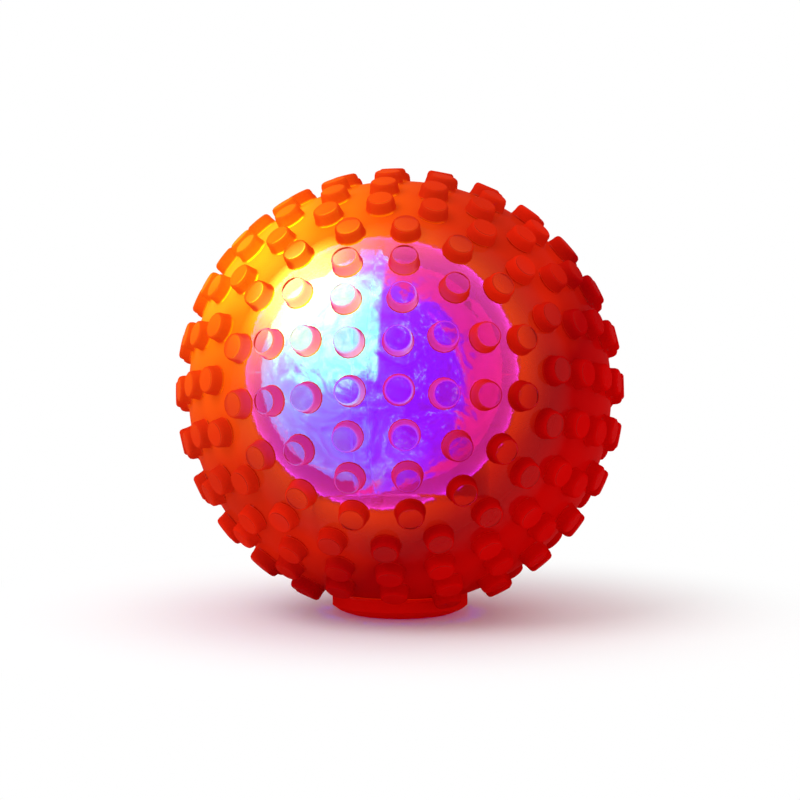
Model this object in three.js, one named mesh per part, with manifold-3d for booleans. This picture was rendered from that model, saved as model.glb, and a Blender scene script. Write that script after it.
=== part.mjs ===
// A light-up dog ball: a studded rubber ball, a rubber plug that closes it and serves as its foot,
// and a clear sealed capsule inside that holds a flashing light unit with a knock switch.
//
// Millimetres, +Z up. The origin is the middle of the flat foot. The front is -Y and the left is -X,
// the side that the lamps point to. Inside the capsule, "left" is a distance from its centre along -X.
import * as THREE from "three";
import { ConvexHull } from "three/addons/math/ConvexHull.js";
import { mergeVertices } from "three/addons/utils/BufferGeometryUtils.js";
import Module from "manifold-3d";

// Rubber ball and its studs
const tipRadius = 32.5; // ball centre to the flat stud tips
const studHeight = 2;
const studTipRadius = 1.95;
const studFootRadius = 2.25;
const studSides = 7;
const studGap = 2.7; // between neighbours along a ring
const ringGap = 0.9; // between one ring and the next
const poleGap = 2; // between the four studs round each pole
const halfTurnedRings = 4; // rings round the pole that straddle the vertical; the rest have a stud on it
const ringTwist = 2; // degrees that the whole pattern is turned about its poles
const poleRise = 10; // degrees that the front pole of the rings leans up

// Plug and foot
const plugRadius = 9.9;
const footFlatRadius = 6.5;
const footEdgeRise = 1.3; // rounding of the foot's edge
const footInset = 0.3; // the foot lies this much inside the stud tips
const stemRadius = 8.5;
const ribHeight = 1.1; // the retaining rib round the stem stands out this far
const ribWidth = 2.4;
const ribUp = 6; // middle of the rib above the landing
const dishDepth = 1.4; // the stem's top is hollowed to cradle the capsule
const plugMargin = 0.4; // bare ring of ball left between the plug's landing and the nearest studs

// Capsule
const pocketLeft = 1.8; // the pocket's centre from the ball's centre
const pocketUp = 1.9;
const capsuleWall = 1.2;
const lapWall = 1.1; // the left half's rim, which laps over the right half's spigot
const spigotWall = 0.65;
const spigotHeight = 1.6;
const ledgeWidth = 0.9; // the ledge and the rib that hold the board between them
const ledgeDepth = 2;
const contentRoom = 0.4; // free space kept round the light unit
const bossRadius = 2.6; // the boss inside the right half that the cells' strap rests against

// Circuit board and what it carries
const boardSeatLeft = 0.6; // the board's right face
const boardThickness = 1;
const ledRadius = 2.5;
const ledFlangeRadius = 2.9;
const ledFlangeThickness = 1;
const ledLength = 8.6;
const ledUp = 4.2;
const leadPitch = 2.54;
const leadSize = 0.5;
const chipRadius = 2.2;
const chipHeight = 1;
const resistorLength = 2;
const resistorWidth = 1.25;
const resistorHeight = 0.55;
const partGap = 0.6; // between neighbours on the board

// Knock switch
const wireDiameter = 0.4;
const coilRadius = 1.4; // middle of the wire
const coilPitch = 0.95;
const coilTurns = 8;
const coilLift = 1.3; // free space between the coil and the board
const postRadius = 0.35;
const postReach = 3; // length of the post inside the coil
const postStandoff = 1.4; // from the coil's free end to the post's foot

// Button cells and their contacts
const cellDiameter = 11.6;
const cellThickness = 3.05;
const cellCount = 3;
const cellCapRadius = 4.4;
const cellCapHeight = 0.35;
const contactRise = 0.9;
const contactLength = 6;
const stripThickness = 0.3;
const stripWidth = 3;
const holderWall = 0.9;
const holderLength = 6.5;

// Clearances
const rubberFit = 0.3; // rubber round the capsule and the plug
const seatGap = 0.1; // flat faces that rest on each other
const slideFit = 0.2; // pieces that slide together

// How finely round shapes are cut into flats
const roundSides = 28;
const cellSides = 20;
const smallSides = 16;
const postSides = 8;
const wireSides = 5;
const stepsPerTurn = 8;
const domeSteps = 8;
const liningSteps = 6;
const smallArcSteps = 5;

const degree = Math.PI / 180;

// Sizes that follow from the ones above
const skinRadius = tipRadius - studHeight;
const landingRadius = plugRadius + rubberFit;
const landingDrop = Math.sqrt(skinRadius ** 2 - landingRadius ** 2);
const footDrop = tipRadius - footInset;
const boardLeft = boardSeatLeft + boardThickness;
const ledHalfPitch = ledFlangeRadius + partGap / 2;
const chipUp = ledUp - ledFlangeRadius - partGap - chipRadius;
const coilOuterRadius = coilRadius + wireDiameter / 2;
const coilUp = chipUp - chipRadius - partGap - coilOuterRadius;
const coilLength = coilPitch * coilTurns;
const coilAxisLeft = boardLeft + coilLift + coilOuterRadius;
const resistorUp = ledUp + ledFlangeRadius + partGap + resistorWidth / 2;
const resistorHalfPitch = (resistorLength + partGap) / 2;
const cellRadius = cellDiameter / 2;
const cellStep = cellThickness + seatGap;
const firstCellLeft = boardSeatLeft - contactRise;
const stackEndLeft = firstCellLeft - cellCount * cellStep;
const holderInnerRadius = cellRadius + slideFit;
const holderOuterRadius = holderInnerRadius + holderWall;
const strapRadius = holderOuterRadius + slideFit; // inner face of the strap's legs

// The capsule is as small as the light unit lets it be
const ledReach = Math.hypot(boardLeft + ledLength - ledRadius, ledHalfPitch, ledUp) + ledRadius;
const strapReach = Math.hypot(stackEndLeft - stripThickness, holderInnerRadius + stripThickness);
const partReach = Math.max(
  Math.hypot(resistorUp + resistorWidth / 2, resistorHalfPitch + resistorLength / 2),
  Math.hypot(ledUp, ledHalfPitch) + ledFlangeRadius,
  Math.hypot(coilUp - coilOuterRadius, coilLength / 2 + postStandoff + postRadius),
  strapRadius + stripThickness,
);
const rimStack = ledgeWidth + slideFit + spigotWall + slideFit + lapWall;
const capsuleRadius = Math.max(
  Math.max(ledReach, strapReach) + contentRoom + capsuleWall,
  partReach + contentRoom + rimStack,
);
const capsuleInnerRadius = capsuleRadius - capsuleWall;
const lapRadius = capsuleRadius - lapWall;
const spigotRadius = lapRadius - slideFit;
const spigotInnerRadius = spigotRadius - spigotWall;
const boardRadius = spigotInnerRadius - slideFit;
const ledgeRadius = boardRadius - ledgeWidth;
const pocketRadius = capsuleRadius + rubberFit;

const wasm = await Module();
wasm.setup();

// A closed geometry as a solid that can be cut and joined
function solidOf(geometry) {
  const bare = new THREE.BufferGeometry();
  bare.setAttribute("position", geometry.getAttribute("position"));
  bare.setIndex(geometry.index);
  const merged = mergeVertices(bare, 1e-4);
  const corners = merged.index.array;
  const triVerts = [];
  for (let i = 0; i < corners.length; i += 3) {
    const [a, b, c] = corners.slice(i, i + 3);
    if (a !== b && b !== c && c !== a) triVerts.push(a, b, c);
  }
  const vertProperties = new Float32Array(merged.getAttribute("position").array);
  const mesh = new wasm.Mesh({ numProp: 3, vertProperties, triVerts: new Uint32Array(triVerts) });
  return new wasm.Manifold(mesh);
}

// The finished solid as a geometry with flat faces
function geometryOf(solid) {
  const mesh = solid.getMesh();
  const geometry = new THREE.BufferGeometry();
  geometry.setAttribute("position", new THREE.BufferAttribute(mesh.vertProperties, 3));
  geometry.setIndex(new THREE.BufferAttribute(mesh.triVerts, 1));
  return geometry;
}

function piece(name, geometry, colour, roughness, metalness = 0, opacity = 1) {
  const material = new THREE.MeshStandardMaterial({ color: colour, roughness, metalness });
  material.opacity = opacity;
  material.transparent = opacity < 1;
  const mesh = new THREE.Mesh(geometry, material);
  mesh.name = name;
  return mesh;
}

// Points of a round stretch of a profile, from one angle to another
function arc(x, y, radius, fromDegrees, toDegrees, steps) {
  const points = [];
  for (let step = 0; step <= steps; step += 1) {
    const angle = (fromDegrees + ((toDegrees - fromDegrees) * step) / steps) * degree;
    points.push([x + radius * Math.cos(angle), y + radius * Math.sin(angle)]);
  }
  return points;
}

// A profile of [radius, height] turned about Z
function turnedUp(profile, sides) {
  const points = profile.map(([radius, height]) => new THREE.Vector2(Math.max(radius, 0), height));
  return new THREE.LatheGeometry(points, sides).rotateX(Math.PI / 2);
}

// A profile of [radius, left] turned about the capsule's left-right axis
function turnedLeft(profile, sides) {
  const points = profile.map(([radius, left]) => new THREE.Vector2(Math.max(radius, 0), left));
  return new THREE.LatheGeometry(points, sides).rotateZ(Math.PI / 2);
}

// An outline in the plane of the board, thickened from one distance left to another
function sheet(outline, rightFace, leftFace, curveSegments = smallSides) {
  const settings = { depth: leftFace - rightFace, bevelEnabled: false, curveSegments };
  const geometry = new THREE.ExtrudeGeometry(outline, settings);
  const backUpRight = new THREE.Matrix4().makeBasis(
    new THREE.Vector3(0, 1, 0),
    new THREE.Vector3(0, 0, 1),
    new THREE.Vector3(1, 0, 0),
  );
  return geometry.applyMatrix4(backUpRight).translate(-leftFace, 0, 0);
}

function rectangle(back, up, width, height) {
  const outline = new THREE.Shape();
  outline.moveTo(back - width / 2, up - height / 2);
  outline.lineTo(back + width / 2, up - height / 2);
  outline.lineTo(back + width / 2, up + height / 2);
  outline.lineTo(back - width / 2, up + height / 2);
  outline.closePath();
  return outline;
}

// Rubber ball

// The way each stud points: rings about two opposite poles, and one ring round the equator
function studDirections() {
  const firstRing = (2 * studFootRadius + poleGap) / Math.SQRT2 / skinRadius;
  const ringSteps = Math.round(((Math.PI / 2 - firstRing) * skinRadius) / (2 * studFootRadius + ringGap));
  const ringStep = (Math.PI / 2 - firstRing) / ringSteps;
  const quarterPitch = 4 * (2 * studFootRadius + studGap);
  const lean = new THREE.Euler(-poleRise * degree, 0, 0);
  const bareAngle = Math.asin(landingRadius / skinRadius) + (studFootRadius + plugMargin) / skinRadius;
  const directions = [];
  for (let ring = 0; ring <= 2 * ringSteps; ring += 1) {
    const fromPole = Math.min(ring, 2 * ringSteps - ring);
    const angle = firstRing + ring * ringStep;
    const quarter = Math.round((2 * Math.PI * skinRadius * Math.sin(angle)) / quarterPitch);
    const count = 4 * quarter;
    const shift = fromPole < halfTurnedRings ? 0.5 : 0;
    for (let stud = 0; stud < count; stud += 1) {
      const turn = ringTwist * degree + ((stud + shift) * 2 * Math.PI) / count;
      const out = Math.sin(angle);
      const direction = new THREE.Vector3(out * Math.cos(turn), -Math.cos(angle), out * Math.sin(turn));
      direction.applyEuler(lean);
      if (Math.acos(-direction.z) > bareAngle) directions.push(direction);
    }
  }
  return directions;
}

// The ball's outside: studs with a skin drawn over the feet of all of them and the plug's flat landing
function studdedBall() {
  const footAngle = Math.asin(studFootRadius / skinRadius);
  const points = [];
  const studOf = new Map();
  const indexOf = new Map();
  const addPoint = (point, stud) => {
    indexOf.set(point, points.length);
    studOf.set(point, stud);
    points.push(point);
  };
  const directions = studDirections();
  const tips = [];
  directions.forEach((direction, stud) => {
    const across = new THREE.Vector3(0, 0, 1).cross(direction).normalize();
    const along = direction.clone().cross(across);
    for (let side = 0; side < studSides; side += 1) {
      const turn = (2 * Math.PI * side) / studSides;
      const sideways = across.clone().multiplyScalar(Math.cos(turn));
      sideways.addScaledVector(along, Math.sin(turn));
      const foot = direction.clone().multiplyScalar(skinRadius * Math.cos(footAngle));
      addPoint(foot.addScaledVector(sideways, studFootRadius), stud);
      const tip = direction.clone().multiplyScalar(tipRadius);
      tips.push(tip.addScaledVector(sideways, studTipRadius));
    }
  });
  for (let side = 0; side < roundSides; side += 1) {
    const turn = (2 * Math.PI * side) / roundSides;
    const x = landingRadius * Math.cos(turn);
    addPoint(new THREE.Vector3(x, landingRadius * Math.sin(turn), -landingDrop), -1 - side);
  }
  const triangles = [];
  for (const face of new ConvexHull().setFromPoints(points).faces) {
    const corners = [face.edge, face.edge.next, face.edge.prev].map((edge) => edge.head().point);
    const studs = corners.map((corner) => studOf.get(corner));
    const underStud = studs[0] === studs[1] && studs[1] === studs[2];
    if (!underStud) triangles.push(...corners.map((corner) => indexOf.get(corner)));
  }
  const tipStart = points.length;
  directions.forEach((direction, stud) => {
    const foot = stud * studSides;
    const tip = tipStart + foot;
    for (let side = 0; side < studSides; side += 1) {
      const next = (side + 1) % studSides;
      triangles.push(foot + side, foot + next, tip + next, foot + side, tip + next, tip + side);
      if (side > 1) triangles.push(tip, tip + side - 1, tip + side);
    }
  });
  const geometry = new THREE.BufferGeometry().setFromPoints([...points, ...tips]);
  geometry.setIndex(triangles);
  return geometry;
}

// The plug's stem, or with a clearance the hole that it fills
function stemProfile(clearance, bottom, top) {
  const radius = stemRadius + clearance;
  const rib = radius + ribHeight;
  const ribMiddle = -landingDrop + ribUp;
  const ribHalf = ribWidth / 2 + clearance;
  return [
    [0, bottom],
    [radius, bottom],
    [radius, ribMiddle - ribHalf - ribHeight],
    [rib, ribMiddle - ribHalf],
    [rib, ribMiddle],
    [radius, ribMiddle + ribHalf + ribHeight],
    [radius, top],
    [0, top],
  ];
}

function pocketSolid() {
  const ball = new THREE.SphereGeometry(pocketRadius, roundSides, roundSides / 2);
  return solidOf(ball.translate(-pocketLeft, 0, pocketUp));
}

function ballShell() {
  const hole = stemProfile(rubberFit, -landingDrop - studHeight, pocketUp);
  const shell = solidOf(studdedBall()).subtract(pocketSolid()).subtract(solidOf(turnedUp(hole, roundSides)));
  return piece("ball_shell", geometryOf(shell), 0xff6a10, 0.35, 0, 0.8);
}

function basePlug() {
  const flangeTop = -landingDrop - seatGap;
  const stemTop = pocketUp - pocketRadius + dishDepth;
  const edgeRun = plugRadius - footFlatRadius;
  const edgeRadius = (edgeRun ** 2 + footEdgeRise ** 2) / (2 * footEdgeRise);
  const edgeSweep = Math.asin(Math.min(edgeRun / edgeRadius, 1)) / degree;
  const flange = [
    [0, -footDrop],
    ...arc(footFlatRadius, edgeRadius - footDrop, edgeRadius, -90, edgeSweep - 90, smallArcSteps),
    [plugRadius, flangeTop],
  ];
  const stem = stemProfile(0, flangeTop, stemTop).slice(1);
  const plug = solidOf(turnedUp([...flange, ...stem], roundSides)).subtract(pocketSolid());
  return piece("base_plug", geometryOf(plug), 0xd8380c, 0.4, 0, 0.9);
}

// Clear capsule

const jointLeft = boardSeatLeft - seatGap; // the two halves meet just below the board's seat
const outsideAt = (left) => Math.atan2(left, Math.sqrt(capsuleRadius ** 2 - left ** 2)) / degree;
const insideAt = (left) => Math.atan2(left, Math.sqrt(capsuleInnerRadius ** 2 - left ** 2)) / degree;

function capsuleRight() {
  const spigotTop = jointLeft + spigotHeight;
  const bossLeft = stackEndLeft - stripThickness - seatGap;
  const bossEdge = -Math.acos(bossRadius / capsuleInnerRadius) / degree;
  const profile = [
    ...arc(0, 0, capsuleRadius, -90, outsideAt(jointLeft), domeSteps),
    [spigotRadius, jointLeft],
    [spigotRadius, spigotTop],
    [spigotInnerRadius, spigotTop],
    [spigotInnerRadius, jointLeft],
    [ledgeRadius, jointLeft],
    [ledgeRadius, jointLeft - ledgeDepth],
    ...arc(0, 0, capsuleInnerRadius, insideAt(jointLeft - ledgeDepth - ledgeWidth), bossEdge, liningSteps),
    [bossRadius, bossLeft],
    [0, bossLeft],
  ];
  return piece("capsule_right", turnedLeft(profile, roundSides), 0xdfe8f2, 0.1, 0, 0.35);
}

function capsuleLeft() {
  const rimLeft = jointLeft + seatGap;
  const ribLeft = boardLeft + seatGap;
  const recessLeft = jointLeft + spigotHeight + slideFit;
  const ribTop = ribLeft + ledgeDepth;
  const profile = [
    ...arc(0, 0, capsuleInnerRadius, 90, insideAt(ribTop + ledgeWidth), liningSteps),
    [ledgeRadius, ribTop],
    [ledgeRadius, ribLeft],
    [boardRadius, ribLeft],
    [boardRadius, recessLeft],
    [lapRadius, recessLeft],
    [lapRadius, rimLeft],
    ...arc(0, 0, capsuleRadius, outsideAt(rimLeft), 90, domeSteps),
  ];
  return piece("capsule_left", turnedLeft(profile, roundSides), 0xdfe8f2, 0.1, 0, 0.35);
}

// Circuit board and its parts

const ledPlaces = { blue: -ledHalfPitch, red: ledHalfPitch }; // distance back from the capsule's centre
const leadSides = { anode: -leadPitch / 2, cathode: leadPitch / 2 };
const coilStartBack = -coilLength / 2;
const postFootBack = coilLength / 2 + postStandoff;

function circuitBoard() {
  const disc = new THREE.Shape();
  disc.absarc(0, 0, boardRadius, 0, 2 * Math.PI);
  const leadHole = leadSize + 2 * slideFit;
  const wireHole = wireDiameter + 2 * slideFit;
  const postHole = 2 * (postRadius + slideFit);
  const slotHeight = stripThickness + 2 * slideFit;
  const slotUp = strapRadius + stripThickness / 2;
  const cuts = [
    rectangle(coilStartBack, coilUp, wireHole, wireHole),
    rectangle(postFootBack, coilUp, postHole, postHole),
    rectangle(0, slotUp, stripWidth + 2 * slideFit, slotHeight),
    rectangle(0, -slotUp, stripWidth + 2 * slideFit, slotHeight),
  ];
  for (const led of Object.values(ledPlaces)) {
    for (const side of Object.values(leadSides)) cuts.push(rectangle(led + side, ledUp, leadHole, leadHole));
  }
  let board = solidOf(sheet(disc, boardSeatLeft, boardLeft));
  for (const cut of cuts) {
    board = board.subtract(solidOf(sheet(cut, boardSeatLeft - boardThickness, boardLeft + boardThickness)));
  }
  return piece("circuit_board", geometryOf(board), 0x1f6b3a, 0.55);
}

function led(colourName, colour) {
  const seat = boardLeft + seatGap;
  const tip = seat + ledLength - seatGap;
  const profile = [
    [0, seat],
    [ledFlangeRadius, seat],
    [ledFlangeRadius, seat + ledFlangeThickness],
    [ledRadius, seat + ledFlangeThickness],
    ...arc(0, tip - ledRadius, ledRadius, 0, 90, smallArcSteps),
  ];
  const body = turnedLeft(profile, smallSides).translate(0, ledPlaces[colourName], ledUp);
  return piece(`led_${colourName}`, body, colour, 0.15, 0, 0.7);
}

// The leads are clipped off level with the back of the board
function ledLead(colourName, sideName) {
  const back = ledPlaces[colourName] + leadSides[sideName];
  const section = rectangle(back, ledUp, leadSize, leadSize);
  return piece(`led_${colourName}_${sideName}`, sheet(section, boardSeatLeft, boardLeft), 0xc8c8cc, 0.3, 1);
}

// The flasher circuit under its drop of black resin
function flasherChip() {
  const seat = boardLeft + seatGap;
  const domeRadius = (chipRadius ** 2 + chipHeight ** 2) / (2 * chipHeight);
  const edge = Math.acos(Math.min(chipRadius / domeRadius, 1)) / degree;
  const dome = arc(0, seat + chipHeight - domeRadius, domeRadius, edge, 90, smallArcSteps);
  const geometry = turnedLeft([[0, seat], ...dome], smallSides).translate(0, 0, chipUp);
  return piece("flasher_chip", geometry, 0x15151a, 0.5);
}

function ledResistor(number, side) {
  const seat = boardLeft + seatGap;
  const outline = rectangle(side * resistorHalfPitch, resistorUp, resistorLength, resistorWidth);
  return piece(`led_resistor_${number}`, sheet(outline, seat, seat + resistorHeight), 0x2b2b30, 0.45);
}

// Knock switch: a coil that stands on one leg, and a post inside its free end that it strikes

// Joins rings of points, each with the same count, into a closed tube
function ringTube(rings) {
  const sides = rings[0].length;
  const triangles = [];
  for (let ring = 0; ring + 1 < rings.length; ring += 1) {
    for (let side = 0; side < sides; side += 1) {
      const a = ring * sides + side;
      const b = ring * sides + ((side + 1) % sides);
      triangles.push(a, b, b + sides, a, b + sides, a + sides);
    }
  }
  const last = (rings.length - 1) * sides;
  for (let side = 1; side + 1 < sides; side += 1) {
    triangles.push(0, side + 1, side, last, last + side, last + side + 1);
  }
  const geometry = new THREE.BufferGeometry().setFromPoints(rings.flat());
  geometry.setIndex(triangles);
  return geometry;
}

// A point inside the capsule
function place(left, back, up) {
  return new THREE.Vector3(-left, back, up);
}

// The rings of a round wire along a line of points
function wireRings(line, radius, sides) {
  let normal = new THREE.Vector3();
  return line.map((point, i) => {
    const before = line[Math.max(i - 1, 0)];
    const after = line[Math.min(i + 1, line.length - 1)];
    const way = after.clone().sub(before).normalize();
    if (i === 0) normal = new THREE.Vector3(0, 1, 1).cross(way).normalize();
    normal.addScaledVector(way, -normal.dot(way)).normalize();
    const across = way.clone().cross(normal);
    return Array.from({ length: sides }, (_, side) => {
      const turn = (2 * Math.PI * side) / sides;
      const out = normal.clone().multiplyScalar(radius * Math.cos(turn));
      return point.clone().add(out.addScaledVector(across, radius * Math.sin(turn)));
    });
  });
}

function coilLine() {
  const legTop = coilAxisLeft - coilRadius;
  const line = [];
  for (const left of [boardSeatLeft, boardLeft, legTop - wireDiameter]) {
    line.push(place(left, coilStartBack, coilUp));
  }
  for (let step = 1; step <= coilTurns * stepsPerTurn; step += 1) {
    const turn = (2 * Math.PI * step) / stepsPerTurn;
    const left = coilAxisLeft - coilRadius * Math.cos(turn);
    const back = coilStartBack + (coilLength * step) / (coilTurns * stepsPerTurn);
    line.push(place(left, back, coilUp + coilRadius * Math.sin(turn)));
  }
  return line;
}

// The least space between two stretches of the wire that are at least half a turn apart
function leastWireGap(line) {
  let least = Infinity;
  for (let i = 0; i < line.length; i += 1) {
    for (let j = i + stepsPerTurn / 2; j < line.length; j += 1) {
      least = Math.min(least, line[i].distanceTo(line[j]) - wireDiameter);
    }
  }
  return least;
}

function switchSpring() {
  const line = coilLine();
  console.log(`switch_spring least gap to itself: ${leastWireGap(line).toFixed(2)} mm`);
  return piece("switch_spring", ringTube(wireRings(line, wireDiameter / 2, wireSides)), 0xb9b6ae, 0.25, 1);
}

function switchPost() {
  const bend = 2 * postRadius;
  const corner = arc(postFootBack - bend, coilAxisLeft - bend, bend, 0, 90, smallArcSteps);
  const line = [
    place(boardSeatLeft, postFootBack, coilUp),
    ...corner.map(([back, left]) => place(left, back, coilUp)),
    place(coilAxisLeft, coilLength / 2 - postReach, coilUp),
  ];
  return piece("switch_post", ringTube(wireRings(line, postRadius, postSides)), 0xc9a24a, 0.3, 1);
}

// Button cells and contacts

function buttonCell(number) {
  const capLeft = firstCellLeft - (number - 1) * cellStep;
  const canLeft = capLeft - cellThickness;
  const shoulderLeft = capLeft - cellCapHeight;
  const profile = [
    [0, canLeft],
    ...arc(cellRadius - cellCapHeight, canLeft + cellCapHeight, cellCapHeight, -90, 0, 2),
    [cellRadius, shoulderLeft],
    [cellCapRadius, shoulderLeft],
    [cellCapRadius, capLeft],
    [0, capLeft],
  ];
  return piece(`cell_${number}`, turnedLeft(profile, cellSides), 0xc4c6c8, 0.25, 1);
}

function cellHolder() {
  const seat = boardSeatLeft - seatGap;
  const mouth = seat - holderLength;
  const lead = holderWall / 2;
  const profile = [
    [holderInnerRadius, seat],
    [holderInnerRadius, mouth + lead],
    [holderInnerRadius + lead, mouth],
    [holderOuterRadius, mouth],
    [holderOuterRadius, seat],
    [holderInnerRadius, seat],
  ];
  return piece("cell_holder", turnedLeft(profile, cellSides), 0x2a2a2e, 0.6);
}

// A strip bent to a line of [left, up] points in the plane across the capsule
function bentStrip(name, line) {
  const outline = new THREE.Shape(line.map(([left, up]) => new THREE.Vector2(-left, up)));
  const settings = { depth: stripWidth, bevelEnabled: false, curveSegments: 1 };
  const geometry = new THREE.ExtrudeGeometry(outline, settings).rotateX(Math.PI / 2);
  return piece(name, geometry.translate(0, stripWidth / 2, 0), 0xcfd0d0, 0.25, 1);
}

// The bowed leaf between the board and the first cell's cap
function negativeContact() {
  const seat = boardSeatLeft - seatGap;
  const crown = firstCellLeft + seatGap;
  const rise = seat - crown;
  const half = contactLength / 2;
  const bow = (x) => rise * Math.cos((x / half) * (Math.PI / 2)) ** 2;
  const steps = 8;
  const line = [];
  for (let step = 0; step <= steps; step += 1) {
    const up = -half + (contactLength * step) / steps;
    line.push([seat - Math.max(bow(up), stripThickness), up]);
  }
  for (let step = steps; step >= 0; step -= 1) {
    const up = -half + (contactLength * step) / steps;
    line.push([seat - Math.max(bow(up) - stripThickness, 0), up]);
  }
  return bentStrip("negative_contact", line);
}

// The strap over the far end of the stack, with a leg each side down to the board
function positiveStrap() {
  const inner = stackEndLeft;
  const outer = inner - stripThickness;
  const legOuter = strapRadius + stripThickness;
  const slant = strapRadius - holderInnerRadius;
  const half = [
    [outer, holderInnerRadius],
    [outer + slant + stripThickness, legOuter],
    [boardLeft, legOuter],
    [boardLeft, strapRadius],
    [inner + slant, strapRadius],
    [inner, holderInnerRadius],
  ];
  const mirrored = half.map(([left, up]) => [left, -up]).reverse();
  return bentStrip("positive_strap", [...half, ...mirrored]);
}

// Assembly

const dogBall = new THREE.Group();
const ball = new THREE.Group();
ball.position.z = footDrop;
dogBall.add(ball);
ball.add(ballShell(), basePlug());

const capsule = new THREE.Group();
capsule.position.set(-pocketLeft, 0, pocketUp);
ball.add(capsule);
capsule.add(capsuleLeft(), capsuleRight(), circuitBoard());
capsule.add(led("blue", 0x5a78ff), led("red", 0xff3a2a));
for (const colourName of Object.keys(ledPlaces)) {
  for (const sideName of Object.keys(leadSides)) capsule.add(ledLead(colourName, sideName));
}
capsule.add(flasherChip(), ledResistor(1, -1), ledResistor(2, 1));
capsule.add(switchSpring(), switchPost());
for (let number = 1; number <= cellCount; number += 1) capsule.add(buttonCell(number));
capsule.add(cellHolder(), negativeContact(), positiveStrap());

export default dogBall;
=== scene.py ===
import math

import bpy
from mathutils import Matrix, Vector


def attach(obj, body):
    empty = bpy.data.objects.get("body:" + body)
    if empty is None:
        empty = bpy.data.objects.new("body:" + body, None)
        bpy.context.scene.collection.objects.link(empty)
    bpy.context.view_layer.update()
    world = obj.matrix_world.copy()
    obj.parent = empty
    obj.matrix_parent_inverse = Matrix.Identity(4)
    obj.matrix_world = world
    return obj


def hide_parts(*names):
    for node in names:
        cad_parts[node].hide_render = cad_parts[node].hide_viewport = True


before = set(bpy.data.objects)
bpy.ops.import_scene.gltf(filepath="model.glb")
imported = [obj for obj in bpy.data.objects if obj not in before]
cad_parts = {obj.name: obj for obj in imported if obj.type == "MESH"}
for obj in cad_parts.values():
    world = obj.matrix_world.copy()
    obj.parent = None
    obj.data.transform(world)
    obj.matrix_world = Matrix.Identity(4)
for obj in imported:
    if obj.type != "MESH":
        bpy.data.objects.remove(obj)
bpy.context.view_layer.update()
bpy.context.scene.view_settings.view_transform = "Standard"

# Rubber ball
# The one-piece ball of soft, clear orange rubber, moulded with flat-topped studs in rings about two poles.
# Its thick wall has a painted glow round the lamps inside, and a round pocket and a throat take the capsule
# and the plug.
mm = 0.001
ball_centre = Vector((0, 0, 32.2 * mm))
capsule_centre = Vector((-1.8 * mm, 0, 34.1 * mm))
skin_radius = 30.5 * mm
landing_height = 3.456 * mm
landing_radius = 10.2 * mm
pocket_radius = 13.74 * mm


def start_clean():
    if bpy.context.object and bpy.context.object.mode != "OBJECT":
        bpy.ops.object.mode_set(mode="OBJECT")
    bpy.ops.object.select_all(action="DESELECT")


def pick(piece):
    start_clean()
    piece.select_set(True)
    bpy.context.view_layer.objects.active = piece


def turned_piece(name, profile, sides):
    """A round solid about Z: a filled ring, drawn out along a profile of (radius, height) in mm."""
    start_clean()
    radius, height = profile[0]
    bpy.ops.mesh.primitive_circle_add(
        vertices=sides, radius=radius * mm, fill_type="NGON", location=(0, 0, height * mm)
    )
    piece = bpy.context.object
    piece.name = name
    bpy.ops.object.transform_apply(location=True, rotation=True, scale=True)
    bpy.ops.object.mode_set(mode="EDIT")
    bpy.ops.mesh.select_mode(type="FACE")
    bpy.ops.mesh.select_all(action="SELECT")
    for next_radius, next_height in profile[1:]:
        rise = (0, 0, (next_height - height) * mm)
        bpy.ops.mesh.extrude_region_move(TRANSFORM_OT_translate={"value": rise})
        wider = next_radius / radius
        bpy.ops.transform.resize(value=(wider, wider, 1), center_override=(0, 0, next_height * mm))
        radius, height = next_radius, next_height
    bpy.ops.mesh.select_all(action="SELECT")
    bpy.ops.mesh.normals_make_consistent(inside=False)
    bpy.ops.object.mode_set(mode="OBJECT")
    return piece


def put_in_place(piece, place):
    piece.data.transform(place)
    piece.data.update()


def join_or_cut(piece, other, operation):
    """Joins another solid to this one, or cuts it away, and removes the other."""
    pick(piece)
    change = piece.modifiers.new(operation.lower(), "BOOLEAN")
    change.operation = operation
    change.solver = "MANIFOLD"
    change.object = other
    bpy.ops.object.modifier_apply(modifier=change.name)
    bpy.data.objects.remove(other)


def smooth_moulding(piece, crease):
    """Smooth faces, flat tops kept flat, and hard edges where faces meet at more than the crease angle."""
    pick(piece)
    bpy.ops.object.shade_smooth_by_angle(angle=math.radians(crease))
    even = piece.modifiers.new("even_normals", "WEIGHTED_NORMAL")
    even.keep_sharp = True
    bpy.ops.object.modifier_apply(modifier=even.name)
    piece.data.materials.clear()


def stud_directions():
    """Directions of the studs from the ball's middle, in rings about two poles. The front pole leans up."""
    stud_foot, plug_margin = 2.25 * mm, 0.4 * mm
    pole_gap, ring_gap, stud_gap = 2 * mm, 0.9 * mm, 2.7 * mm
    pole_lean, twist, half_turned_rings = math.radians(10), math.radians(2), 4
    first_ring = (2 * stud_foot + pole_gap) / math.sqrt(2) / skin_radius
    ring_steps = round((math.pi / 2 - first_ring) * skin_radius / (2 * stud_foot + ring_gap))
    ring_step = (math.pi / 2 - first_ring) / ring_steps
    quarter_pitch = 4 * (2 * stud_foot + stud_gap)
    bare = math.asin(landing_radius / skin_radius) + (stud_foot + plug_margin) / skin_radius
    lean = Matrix.Rotation(-pole_lean, 3, "X")
    directions = []
    for ring in range(2 * ring_steps + 1):
        from_pole = min(ring, 2 * ring_steps - ring)
        angle = first_ring + ring * ring_step
        out = math.sin(angle)
        count = 4 * round(2 * math.pi * skin_radius * out / quarter_pitch)
        shift = 0.5 if from_pole < half_turned_rings else 0
        for stud in range(count):
            turn = twist + (stud + shift) * 2 * math.pi / count
            direction = lean @ Vector((out * math.cos(turn), -math.cos(angle), out * math.sin(turn)))
            if math.acos(-direction.z) > bare:
                directions.append(direction)
    return directions


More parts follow.
